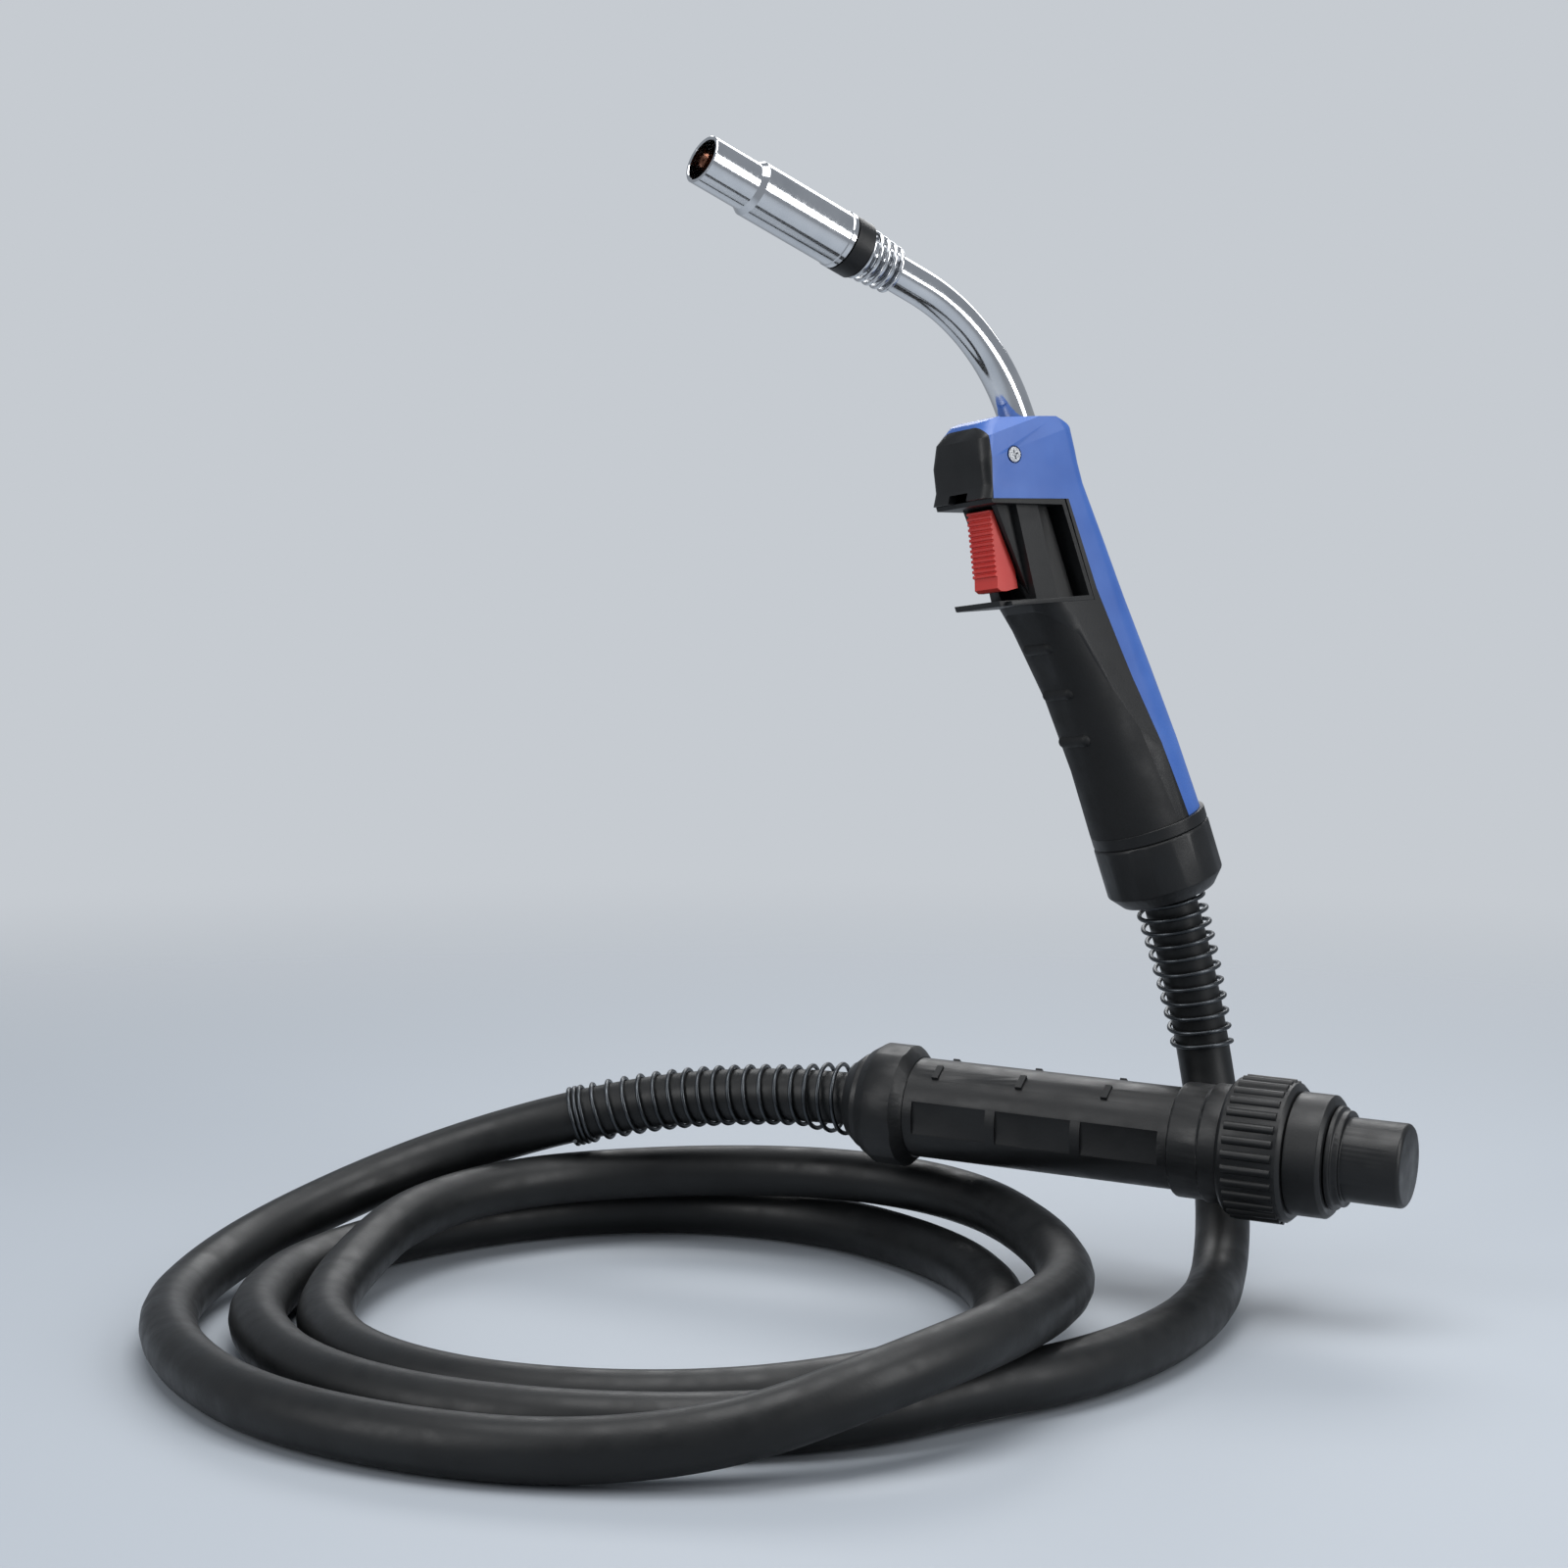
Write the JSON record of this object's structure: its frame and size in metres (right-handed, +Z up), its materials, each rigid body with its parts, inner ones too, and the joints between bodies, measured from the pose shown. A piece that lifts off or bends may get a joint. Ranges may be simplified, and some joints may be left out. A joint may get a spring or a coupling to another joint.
{
  "type": "mig welding torch with cable",
  "caption": "Hand-held gas-shielded welding torch with swan neck, spring-loaded trigger, coiled power cable and capped central plug.",
  "frame": {"origin": "on the floor, at the middle of the hole that the coiled cable lies round", "axes": "+Z is up, the direction in which the handle stands on its cable; +X is to the viewer's right, the way the plug points; +Y is away from the viewer"},
  "size_m": [0.4788, 0.362, 0.4361],
  "materials": {
    "shell_blue": "fine moulded texture",
    "grip_black": "soft moulded grip",
    "body_black": "satin moulded",
    "trigger_red": "satin moulded",
    "switch_grey": "smooth",
    "cable_rubber": "satin jacket",
    "bright_chrome": "polished",
    "plated_steel": "bright zinc",
    "spring_steel": "drawn wire",
    "copper": "turned copper",
    "brass": "turned",
    "liner_white": "smooth",
    "oring_black": "smooth"
  },
  "bodies": {
    "handle_and_cable": {"handle_shell_left": "body_black", "handle_shell_right": "body_black", "back_cover": "shell_blue", "soft_grip": "grip_black", "switch_housing": "body_black", "trigger_pin": "plated_steel", "micro_switch": "switch_grey", "trigger_spring": "spring_steel", "head_screw": "plated_steel", "head_screw_nut": "plated_steel", "handle_ring": "body_black", "handle_nut": "body_black", "cable_crimp": "brass", "current_block": "brass", "swan_neck": "bright_chrome", "neck_conductor": "copper", "wire_liner": "liner_white", "nozzle_spring": "spring_steel", "nozzle_insulator": "body_black", "tip_holder": "brass", "gas_diffuser": "liner_white", "contact_tip": "copper", "plug_rear_nut": "body_black", "plug_ring_nut": "body_black", "plug_housing": "body_black", "plug_end_ring": "body_black", "plug_front_ring": "body_black", "contact_spring_a": "spring_steel", "contact_spring_b": "spring_steel", "plug_core": "brass", "gas_nipple": "brass", "nipple_oring": "oring_black", "cable_tail_plug": "cable_rubber", "cable_tail_handle": "cable_rubber", "cable_coil": "cable_rubber", "handle_cable_spring": "spring_steel", "plug_cable_spring": "spring_steel"},
    "trigger": {"trigger": "trigger_red"},
    "plunger": {"switch_plunger": "liner_white"},
    "nozzle": {"gas_nozzle": "bright_chrome"},
    "collar": {"collar_nut": "body_black"},
    "cap": {"plug_cap": "body_black"},
    "contact_a": {"contact_pin_a": "brass"},
    "contact_b": {"contact_pin_b": "brass"}
  },
  "joints": [
    {"name": "trigger_pull", "type": "hinge", "parent": "handle_and_cable", "child": "trigger", "pos_m": [0.13792, 0.05289, 0.29967], "axis": [0.5685, -0.816, 0.1044], "range_deg": [0, 6.5], "stiffness_Nm_per_rad": 1, "springref_deg": -3.44, "deforming": ["trigger_spring"]},
    {"name": "switch_press", "type": "slide", "parent": "handle_and_cable", "child": "plunger", "axis": [0.7662, 0.5714, 0.294], "range_m": [0, 0.0016]},
    {"name": "nozzle_pull", "type": "slide", "parent": "handle_and_cable", "child": "nozzle", "axis": [-0.7748, -0.4884, 0.4014], "range_m": [0, 0.075]},
    {"name": "collar_turn", "type": "hinge", "parent": "handle_and_cable", "child": "collar", "pos_m": [0.23088, 0.0325, 0.0632], "axis": [0.8994, -0.4362, -0.03], "continuous": true},
    {"name": "cap_pull", "type": "slide", "parent": "handle_and_cable", "child": "cap", "axis": [0.8994, -0.4362, -0.03], "range_m": [0, 0.045]},
    {"name": "contact_a_push", "type": "slide", "parent": "handle_and_cable", "child": "contact_a", "axis": [-0.8994, 0.4362, 0.03], "range_m": [0, 0.003], "stiffness_N_per_m": 500, "springref_m": -0.001, "deforming": ["contact_spring_a"]},
    {"name": "contact_b_push", "type": "slide", "parent": "handle_and_cable", "child": "contact_b", "axis": [-0.8994, 0.4362, 0.03], "range_m": [0, 0.003], "stiffness_N_per_m": 500, "springref_m": -0.001, "deforming": ["contact_spring_b"]}
  ],
  "couplings": [
    {"joint": "switch_press", "follows": "trigger_pull", "m_per_rad": 0.0135}
  ]
}
